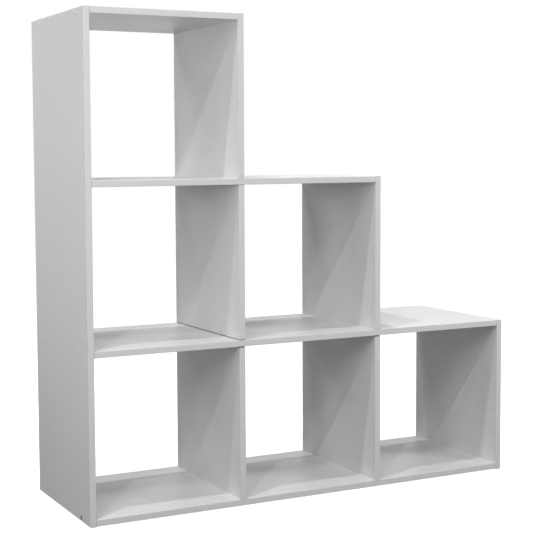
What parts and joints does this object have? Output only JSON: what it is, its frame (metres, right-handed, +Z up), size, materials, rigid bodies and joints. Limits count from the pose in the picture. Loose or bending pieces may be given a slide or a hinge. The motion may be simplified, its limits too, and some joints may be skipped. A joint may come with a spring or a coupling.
{
  "type": "stepped open bookshelf",
  "caption": "Free-standing staircase bookshelf of square open cells in thin white board, tall at the left and stepping down to the right.",
  "frame": {"origin": "on the floor, below the middle of the width and of the depth", "axes": "+Z up; -Y is the front, where the shelf faces its user; -X is the tall end of the steps and +X the low end"},
  "size_m": [0.926, 0.298, 0.9345],
  "materials": {
    "board": "chipboard faced with satin white melamine with a faint pearl texture",
    "edging": "satin white plastic edging strip",
    "cap": "satin white plastic",
    "screw": "dull zinc plating",
    "dowel": "bare turned beech"
  },
  "bodies": {
    "root": {"left_side_panel": "board", "top_panel": "board", "upper_right_panel": "board", "upper_shelf": "board", "middle_divider": "board", "middle_right_panel": "board", "lower_shelf": "board", "lower_left_divider": "board", "lower_right_divider": "board", "lower_right_panel": "board", "bottom_panel": "board", "left_side_edging": "edging", "top_panel_edging": "edging", "upper_right_edging": "edging", "upper_shelf_edging": "edging", "middle_divider_edging": "edging", "middle_right_edging": "edging", "lower_shelf_edging": "edging", "lower_left_divider_edging": "edging", "lower_right_divider_edging": "edging", "lower_right_edging": "edging", "bottom_panel_edging": "edging", "left_side_screws": "screw", "upper_right_screws": "screw", "middle_right_screws": "screw", "lower_right_screws": "screw", "upper_shelf_screws": "screw", "lower_shelf_screws": "screw", "bottom_panel_screws": "screw", "left_side_caps": "cap", "upper_right_caps": "cap", "middle_right_caps": "cap", "lower_right_caps": "cap", "middle_divider_dowels": "dowel", "lower_left_divider_dowels": "dowel", "lower_right_divider_dowels": "dowel"}
  },
  "joints": []
}
